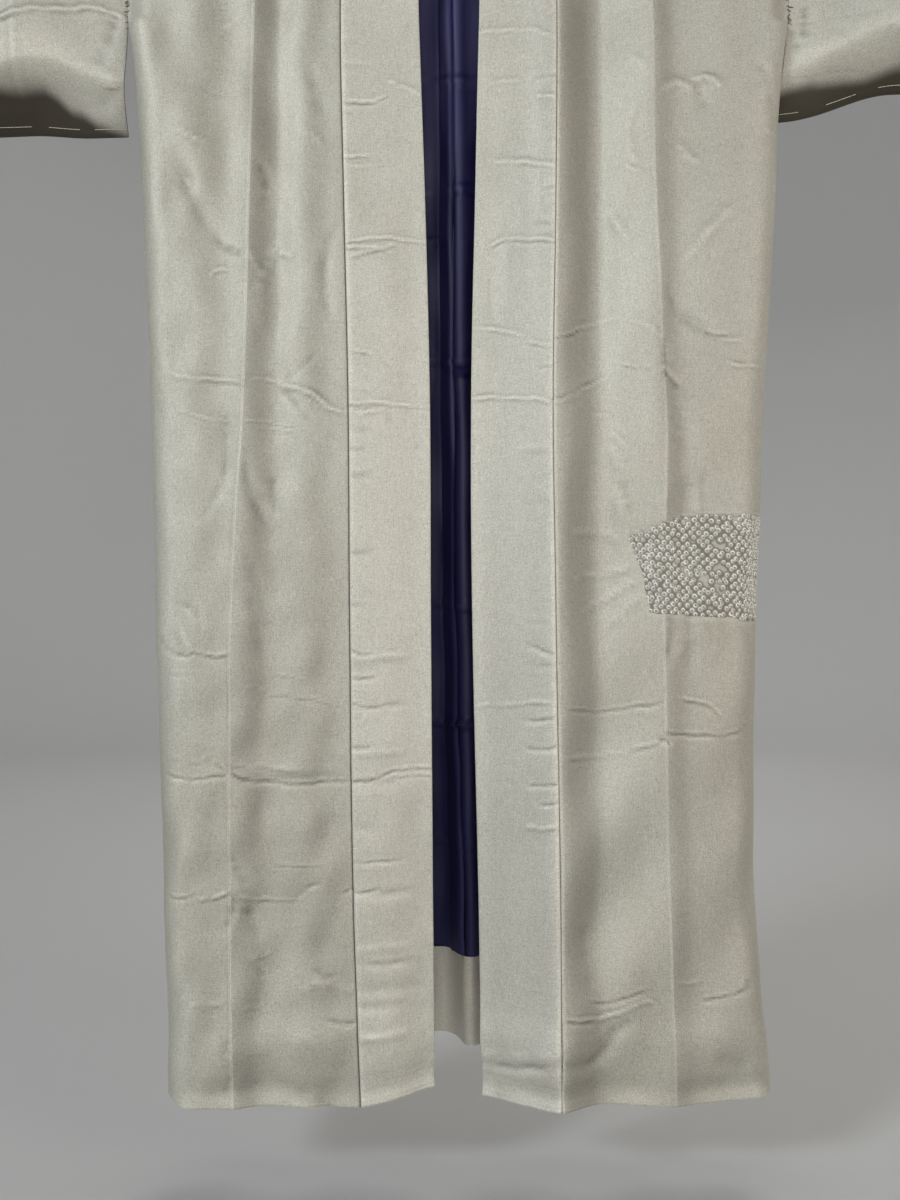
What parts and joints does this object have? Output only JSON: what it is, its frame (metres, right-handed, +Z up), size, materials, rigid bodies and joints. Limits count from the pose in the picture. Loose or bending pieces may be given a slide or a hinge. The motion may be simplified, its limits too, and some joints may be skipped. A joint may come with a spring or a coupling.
{
  "type": "silk kimono robe on a hanging rod",
  "caption": "Lined silk kimono robe of straight T cut, open down the front, with wide sleeves and a long collar band, hung on a wooden rod.",
  "frame": {"origin": "inside top of the hanger's hook, where it bears on what carries the robe", "axes": "+Z up, the robe's open front faces -Y, the rod and the sleeves lie along X"},
  "size_m": [1.41, 0.1694, 1.6018],
  "materials": {
    "silk": "grey-beige silk with a soft sheen",
    "lining": "dark navy silk lining",
    "wood": "plain waxed wood",
    "steel": "satin steel wire"
  },
  "bodies": {
    "root": {"body_left": "silk", "body_right": "silk", "sleeve_left": "silk", "sleeve_right": "silk", "collar_band": "silk", "back_lining_left": "lining", "back_lining_right": "lining", "back_hem_facing_left": "silk", "back_hem_facing_right": "silk", "hanger_rod": "wood", "hanger_hook": "steel"}
  },
  "joints": []
}
